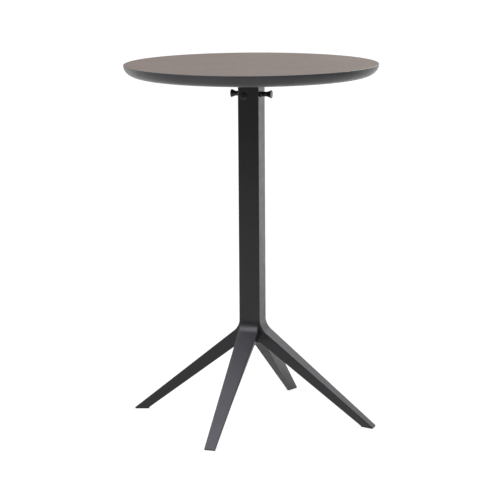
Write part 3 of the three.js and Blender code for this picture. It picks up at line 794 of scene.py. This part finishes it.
# ==== Head block and what it holds ====
def head_block():
    """The casting in the column's head: a plug with a flange, an open pocket for the cheeks, and
    bores for the pivot pin, the tie rod, the spring's seat, the head bolt and the pads."""
    low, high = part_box("head_block")
    floor_top = low.z + 8 * MM
    plug = prism(square(BORE_HALF, PLUG_CORNER), low.z, HEAD_Z + OVER)
    flange = prism(square(HALF, CORNER), HEAD_Z, high.z)
    body = combine(plug, "UNION", flange)
    pocket = block(-POCKET_HALF, POCKET_HALF, WEB_Y, HALF + OVER, floor_top, high.z + OVER)
    pin_circle = circle(5.1 * MM, BORE_STEPS, (PIVOT_Y, PIVOT_Z))
    rod_circle = circle(5.4 * MM, BORE_STEPS)
    seat_circle = circle(5.6 * MM, BORE_STEPS, (LATCH_Z, 0))
    bolt_circle = circle(4.1 * MM, BORE_STEPS, (BOLT_Z, BOLT_X))
    bores = [
        prism(pin_circle, -HALF, HALF, "x"),
        prism(rod_circle, low.z - OVER, floor_top + OVER),
        prism(seat_circle, SPRING_SEAT_Y, WEB_Y + OVER, "y"),
        prism(bolt_circle, -HALF, WEB_Y + OVER, "y"),
    ]
    stem_bore, stem_depth = 2 * MM, 4 * MM
    for side in ("left", "right"):
        pad_low, pad_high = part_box(f"stop_pad_{side}")
        stem_circle = circle(stem_bore, SCREW_STEPS, ((pad_low + pad_high) / 2).xy)
        bores.append(prism(stem_circle, HEAD_Z - stem_depth, high.z + OVER))
    return soften(cut(body, pocket, latch_slot(), *bores), 0.4 * MM)


def stop_pad(side):
    """A mushroom of rubber: a stem in the head block and a domed head that the top rests on."""
    low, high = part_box(f"stop_pad_{side}")
    seat_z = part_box("head_block")[1].z
    head, stem, dome = 4.6 * MM, 1.9 * MM, 0.6 * MM
    profile = rounded([
        (0, low.z), (stem, low.z, 0.4 * MM), (stem, seat_z), (head, seat_z, 0.5 * MM),
        (head, high.z - dome, 1.1 * MM), (0, high.z),
    ], closed=False, steps=5)
    return lathe(profile, centre=((low + high) / 2).xy)


def head_bolt():
    low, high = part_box("head_bolt")
    bolt = screw_solid(
        head_radius=(high.x - low.x) / 2, head_height=-HALF - low.y, shank_radius=4 * MM,
        length=high.y + HALF, socket_radius=2.2 * MM,
    )
    turn = Matrix.Rotation(-math.pi / 2, 3, "X")
    return moved(bolt, (BOLT_X, -HALF, BOLT_Z), turn)


def pivot_pin():
    low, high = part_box("pivot_pin")
    radius = (high.z - low.z) / 2
    ease = 0.8 * MM
    profile = rounded([
        (0, low.x), (radius, low.x, ease), (radius, high.x, ease), (0, high.x),
    ], closed=False)
    return lathe(profile, "x", (PIVOT_Y, PIVOT_Z))


finished("head_block", head_block(), leg_paint)
finished("head_bolt", head_bolt(), column_paint)
finished("pivot_pin", pivot_pin(), zinc)
for side in ("left", "right"):
    finished(f"stop_pad_{side}", stop_pad(side), pad_rubber)


# ==== Latch ====
STUD_RADIUS = 4 * MM
KNOB_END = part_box("knob_right")[1].x
KNOB_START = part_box("knob_right")[0].x
KNOB_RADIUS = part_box("knob_right")[1].z - LATCH_Z
SHANK_RADIUS = 6.75 * MM


def latch_rod():
    """The bar across the column, stepped down to a stud at each end."""
    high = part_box("latch_rod")[1]
    radius = high.z - LATCH_Z
    ease = 0.4 * MM
    right = [
        (radius, HALF, ease), (STUD_RADIUS, HALF), (STUD_RADIUS, high.x, 1 * MM), (0, high.x),
    ]
    left = [(r, -h, *rest) for r, h, *rest in reversed(right)]
    return lathe(rounded(left + right, closed=False, steps=4), "x", (LATCH_Y, LATCH_Z))


def knob(side):
    """A straight shank that swells into a trumpet with a softly domed end."""
    flare_start = KNOB_END - 14.5 * MM
    rim_start = KNOB_END - 2.4 * MM
    rim_end = KNOB_END - 0.7 * MM
    bore = STUD_RADIUS + 0.15 * MM
    bottom = KNOB_END - 8.7 * MM
    bevel = 0.3 * MM
    profile = [Vector((bore, KNOB_START)), Vector((SHANK_RADIUS - bevel, KNOB_START))]
    profile.append(Vector((SHANK_RADIUS, KNOB_START + bevel)))
    flare_steps = 16
    for k in range(flare_steps + 1):
        share = k / flare_steps
        swell = (KNOB_RADIUS - SHANK_RADIUS) * share ** 1.35
        height = flare_start + share * (rim_start - flare_start)
        profile.append(Vector((SHANK_RADIUS + swell, height)))
    rim = rounded([
        (KNOB_RADIUS, rim_start), (KNOB_RADIUS, rim_end, 1.1 * MM), (0, KNOB_END),
    ], closed=False, steps=6)
    dome_at = Vector((KNOB_RADIUS * 0.5, KNOB_END - 0.25 * MM))
    profile += rim[1:-1] + [dome_at, rim[-1]]
    profile += [Vector((0, bottom)), Vector((bore, bottom))]
    body = lathe(profile, "x", (LATCH_Y, LATCH_Z))
    if side == "left":
        turn = Matrix.Rotation(math.pi, 3, "Z")
        bmesh.ops.rotate(body, cent=(0, LATCH_Y, LATCH_Z), matrix=turn, verts=body.verts)
    return body


def latch_spring():
    """Round wire with closed end coils between its seat and the latch rod."""
    wire, coil_radius = 0.65 * MM, 4.2 * MM
    turns, closed_turns = 7.0, 0.75
    steps_per_turn, wire_steps = 28, 10
    low = SPRING_SEAT_Y + wire
    high = SPRING_END_Y - wire
    closed_rise = 2 * wire * closed_turns
    open_turns = turns - 2 * closed_turns
    open_rise = high - low - 2 * closed_rise
    count = int(turns * steps_per_turn)
    rows = []
    for k in range(count + 1):
        turned = turns * k / count
        if turned < closed_turns:
            y = low + closed_rise * turned / closed_turns
        elif turned > turns - closed_turns:
            y = high - closed_rise * (turns - turned) / closed_turns
        else:
            y = low + closed_rise + open_rise * (turned - closed_turns) / open_turns
        angle = 2 * math.pi * turned
        out = Vector((math.cos(angle), 0, math.sin(angle)))
        centre = Vector((0, y, LATCH_Z)) + out * coil_radius
        section = circle(wire, wire_steps)
        rows.append([centre + out * u + Vector((0, v, 0)) for u, v in section])
    return skin(rows)


finished("latch_rod", latch_rod(), zinc)
for side in ("right", "left"):
    finished(f"knob_{side}", knob(side), knob_plastic)
spring = finished("latch_spring", latch_spring(), zinc)
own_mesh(spring)


# ==== Tilt bracket ====
def tilt_bracket():
    """The plate under the top, with two cheeks that turn on the pivot pin. Each cheek is cut back
    to a clear radius under the latch rod, where its locking lug would be."""
    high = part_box("tilt_bracket")[1]
    plate_z = high.z - PLATE_THICKNESS
    plate = prism(square(high.x, 14 * MM), plate_z, high.z)
    shoulder_y = -10 * MM
    shoulder_z = LATCH_Z + 6.8 * MM
    start = math.pi + math.asin((PIVOT_Z - shoulder_z) / CHEEK_RADIUS)
    outline = [
        (WEB_Y, plate_z + OVER), (WEB_Y, plate_z), (shoulder_y, PIVOT_Z, 3 * MM),
        (shoulder_y, shoulder_z, 0.8 * MM),
    ]
    cheek_outline = rounded(
        outline + [(PIVOT_Y + CHEEK_RADIUS * math.cos(start), shoulder_z)], closed=False, steps=5
    )
    arc_steps = 36
    for k in range(1, arc_steps + 1):
        angle = start + (2 * math.pi - start) * k / arc_steps
        at = (PIVOT_Y + CHEEK_RADIUS * math.cos(angle), PIVOT_Z + CHEEK_RADIUS * math.sin(angle))
        cheek_outline.append(Vector(at))
    cheek_outline.append(Vector((PIVOT_Y + CHEEK_RADIUS, plate_z + OVER)))
    cheeks = [
        prism(cheek_outline, x, x + CHEEK_THICKNESS, "x")
        for x in (-CHEEK_X - CHEEK_THICKNESS, CHEEK_X)
    ]
    body = combine(plate, "UNION", *cheeks)
    bore = prism(circle(7.1 * MM, 40, (PIVOT_Y, PIVOT_Z)), -HALF, HALF, "x")
    holes = [
        prism(circle(3.4 * MM, SCREW_STEPS, place), plate_z - OVER, high.z + OVER)
        for place in screw_places()
    ]
    return soften(cut(body, bore, *holes), 0.5 * MM)


def pivot_bush(side):
    """A flanged bush in a cheek, its flange on the cheek's outer face."""
    inner, outer, rim = 5.06 * MM, 7 * MM, 9 * MM
    far = CHEEK_X + CHEEK_THICKNESS
    flange_end = far + 1 * MM
    ease = 0.25 * MM
    outline = rounded([
        (inner, CHEEK_X, ease), (outer, CHEEK_X, ease), (outer, far),
        (rim, far, ease), (rim, flange_end, ease), (inner, flange_end, ease),
    ], steps=2)
    if side == "left":
        outline = [Vector((r, -h)) for r, h in reversed(outline)]
    return lathe(outline, "x", (PIVOT_Y, PIVOT_Z))


finished("tilt_bracket", tilt_bracket(), bracket_paint)
for side in ("right", "left"):
    finished(f"pivot_bush_{side}", pivot_bush(side), bush_plastic)
for end in ("back", "front"):
    for hand in ("right", "left"):
        low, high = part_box(f"insert_{end}_{hand}")
        centre = ((low + high) / 2).xy
        insert = ring(3.2 * MM, 5.8 * MM, low.z, high.z, centre, SCREW_STEPS)
        finished(f"insert_{end}_{hand}", insert, brass)
        screw = screw_solid(
            head_radius=5.6 * MM, head_height=3.2 * MM, shank_radius=3 * MM, length=16 * MM,
            socket_radius=2.3 * MM,
        )
        plate_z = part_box("tilt_bracket")[1].z - PLATE_THICKNESS
        finished(f"bracket_screw_{end}_{hand}", moved(screw, (*centre, plate_z)), zinc)


# ==== Stage: floor, light and camera ====
def world():
    """Studio surroundings, by direction: a white wall behind, a dim room in front, a bright
    ceiling. The camera itself sees plain white."""
    made = bpy.data.worlds.new("studio")
    bpy.context.scene.world = made
    made.use_nodes = True
    g = Graph(made.node_tree)
    way = g.add("ShaderNodeTexCoord").outputs["Generated"]
    rise = g.add("ShaderNodeSeparateXYZ", {0: way}).outputs["Z"]
    dim_room, ceiling, ceiling_tint = 0.08, 2.5, (0.97, 0.985, 1.12)
    behind = g.ramp(g.behind_camera(way), 0.2, 0.7, 0.0, 1.0)
    wall = g.ramp(rise, 0.05, 0.40, 1.02, 0.84)
    room = g.add("ShaderNodeMix", {"Factor": behind, "A": dim_room, "B": wall}).outputs["Result"]
    high = g.ramp(rise, 0.55, 0.95, 0.0, 1.0)
    level = g.add("ShaderNodeMix", {"Factor": high, "A": room, "B": ceiling}).outputs["Result"]
    tint = g.mix(high, (1.0, 1.0, 1.0), ceiling_tint)
    seen = g.add("ShaderNodeBackground", {"Color": (1, 1, 1, 1), "Strength": 1.0})
    lit = g.add("ShaderNodeBackground", {"Color": tint, "Strength": level})
    camera_ray = g.add("ShaderNodeLightPath").outputs["Is Camera Ray"]
    both = g.add("ShaderNodeMixShader", {0: camera_ray, 1: lit.outputs[0], 2: seen.outputs[0]})
    g.add("ShaderNodeOutputWorld", {"Surface": both.outputs[0]})


def floor():
    """A plain pale floor that fades into the background. What the table reflects of it is dim in
    front, bright behind, shaded under the table, and has a small bright pool behind the column."""
    mesh = bpy.data.meshes.new("floor")
    size = 15.0
    corners = [(-size, -size, 0), (size, -size, 0), (size, size, 0), (-size, size, 0)]
    mesh.from_pydata(corners, [], [(0, 1, 2, 3)])
    made = bpy.data.objects.new("floor", mesh)
    bpy.context.scene.collection.objects.link(made)
    paint = bpy.data.materials.new("floor")
    paint.use_nodes = True
    g = Graph(paint.node_tree)
    place = g.add("ShaderNodeTexCoord").outputs["Object"]
    away = g.add("ShaderNodeVectorMath", {0: place}, operation="LENGTH").outputs["Value"]
    behind = g.behind_camera(place)
    near = g.ramp(away, 1.0, 4.5, 0.8, 0.28)
    back = g.ramp(behind, 0.4, 3.0, 0.0, 1.2)
    pool_ends = {0: place, 1: (0.13, 0.47, 0)}
    from_pool = g.add("ShaderNodeVectorMath", pool_ends, operation="DISTANCE").outputs["Value"]
    pool = g.ramp(from_pool, 0.06, 0.20, 0.9, 0.0)
    shade = g.ramp(away, 0.1, 1.0, 0.72, 1.0)
    level = g.math("MULTIPLY", g.math("ADD", near, back), shade)
    level = g.math("ADD", level, pool)
    grey, white = (0.16, 0.16, 0.16, 1), (1, 1, 1, 1)
    matt = g.add("ShaderNodeBsdfDiffuse", {"Color": grey}).outputs[0]
    glow = g.add("ShaderNodeEmission", {"Color": white, "Strength": 0.87}).outputs[0]
    plain = g.add("ShaderNodeAddShader", {0: matt, 1: glow}).outputs[0]
    mirrored = g.add("ShaderNodeEmission", {"Color": white, "Strength": level}).outputs[0]
    camera_ray = g.add("ShaderNodeLightPath").outputs["Is Camera Ray"]
    both = g.add("ShaderNodeMixShader", {0: camera_ray, 1: mirrored, 2: plain})
    g.add("ShaderNodeOutputMaterial", {"Surface": both.outputs[0]})
    mesh.materials.append(paint)


def softbox(name, place, target, width, depth, radiance):
    """A rectangular light that the camera can't see."""
    light = bpy.data.lights.new(name, "AREA")
    light.shape = "RECTANGLE"
    light.size, light.size_y = width, depth
    light.energy = radiance * math.pi * width * depth
    made = bpy.data.objects.new(name, light)
    made.location = place
    aim = Vector(target) - Vector(place)
    made.rotation_euler = aim.to_track_quat("-Z", "Y").to_euler()
    made.visible_camera = False
    bpy.context.scene.collection.objects.link(made)


def camera():
    """Stands to the right of the front, a little above the top, and looks slightly down."""
    azimuth, distance, height = CAMERA_AZIMUTH, 5.503, 1.5068
    yaw, pitch, roll = math.radians(0.064), math.radians(10.562), math.radians(-0.358)
    made = bpy.data.objects.new("camera", bpy.data.cameras.new("camera"))
    made.data.lens = 144.75
    made.location = (distance * math.sin(azimuth), -distance * math.cos(azimuth), height)
    turn = Matrix.Rotation(azimuth + yaw, 4, "Z") @ Matrix.Rotation(math.pi / 2 - pitch, 4, "X")
    made.rotation_euler = (turn @ Matrix.Rotation(roll, 4, "Z")).to_euler()
    bpy.context.scene.collection.objects.link(made)
    bpy.context.scene.camera = made


world()
floor()
softbox("front_top", (-1.0, -1.9, 2.6), (0, 0, 0.3), width=2.2, depth=1.2, radiance=3.4)
softbox("back_top", (0.8, 1.6, 2.0), (0, 0.2, 1.0), width=1.0, depth=1.0, radiance=6.0)
camera()
bpy.context.scene.view_settings.view_transform = "Standard"
